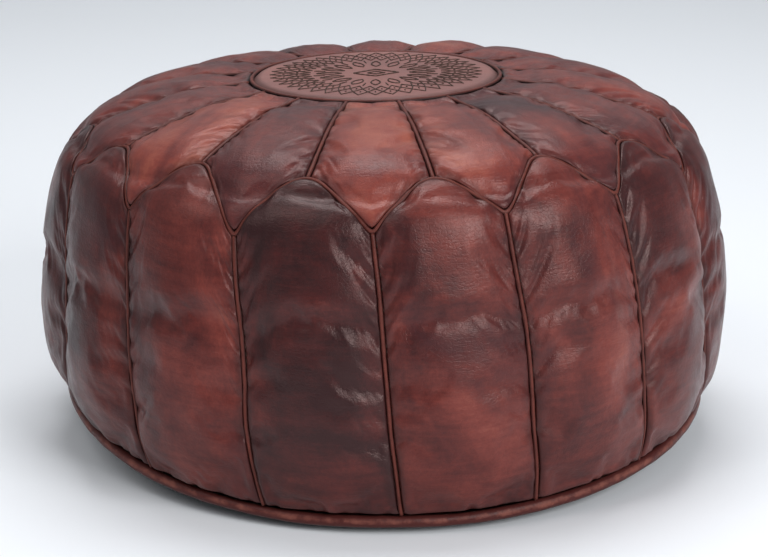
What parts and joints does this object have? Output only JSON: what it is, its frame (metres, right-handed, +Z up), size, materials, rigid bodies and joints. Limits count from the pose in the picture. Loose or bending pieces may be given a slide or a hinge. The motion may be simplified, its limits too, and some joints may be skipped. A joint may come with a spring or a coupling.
{
  "type": "floor pouf",
  "caption": "Round stuffed leather floor pouf with petal top panels, gabled side panels, welted seams, an embroidered medallion and a zipped base.",
  "frame": {"origin": "centre of the pouf on the floor plane it stands on", "axes": "+Z up; the pouf's front faces -Y; the base zip runs along X and opens towards -X"},
  "size_m": [0.544, 0.544, 0.2878],
  "materials": {
    "top_leather": "semi-gloss, hand dyed",
    "side_leather": "semi-gloss, hand dyed",
    "welt_leather": "semi-gloss, worn on the crest",
    "roll_leather": "scuffed",
    "medallion_leather": "smooth satin",
    "base_leather": "matt",
    "thread": "twisted cotton thread",
    "zip_tape": "woven",
    "brass": "satin",
    "lining": "plain cotton",
    "filling": "shredded cloth"
  },
  "bodies": {
    "pouf": {"medallion": "medallion_leather", "medallion_embroidery": "thread", "medallion_welt": "welt_leather", "top_panel_01": "top_leather", "top_panel_02": "top_leather", "top_panel_03": "top_leather", "top_panel_04": "top_leather", "top_panel_05": "top_leather", "top_panel_06": "top_leather", "top_panel_07": "top_leather", "top_panel_08": "top_leather", "top_panel_09": "top_leather", "top_panel_10": "top_leather", "top_panel_11": "top_leather", "top_panel_12": "top_leather", "top_panel_13": "top_leather", "top_panel_14": "top_leather", "top_panel_15": "top_leather", "top_panel_16": "top_leather", "side_panel_01": "side_leather", "side_panel_02": "side_leather", "side_panel_03": "side_leather", "side_panel_04": "side_leather", "side_panel_05": "side_leather", "side_panel_06": "side_leather", "side_panel_07": "side_leather", "side_panel_08": "side_leather", "side_panel_09": "side_leather", "side_panel_10": "side_leather", "side_panel_11": "side_leather", "side_panel_12": "side_leather", "side_panel_13": "side_leather", "side_panel_14": "side_leather", "side_panel_15": "side_leather", "side_panel_16": "side_leather", "top_welts": "welt_leather", "crown_welt": "welt_leather", "side_welts": "welt_leather", "base_roll": "roll_leather", "base_half_front": "base_leather", "base_half_back": "base_leather", "zip_tape_front": "zip_tape", "zip_tape_back": "zip_tape", "zip_teeth_front": "brass", "zip_teeth_back": "brass", "zip_top_stops": "brass", "zip_bottom_stop": "brass", "inner_bag_top": "lining", "inner_bag_bottom": "lining", "stuffing": "filling"},
    "slider": {"zip_slider": "brass"},
    "pull": {"zip_pull": "brass"}
  },
  "joints": [
    {"name": "zip_slide", "type": "slide", "parent": "pouf", "child": "slider", "axis": [-1, 0, 0], "range_m": [0, 0.275]},
    {"name": "pull_hinge", "type": "hinge", "parent": "slider", "child": "pull", "pos_m": [0.141, 0, 0.0023], "axis": [0, -1, 0], "range_deg": [0, 180]}
  ]
}
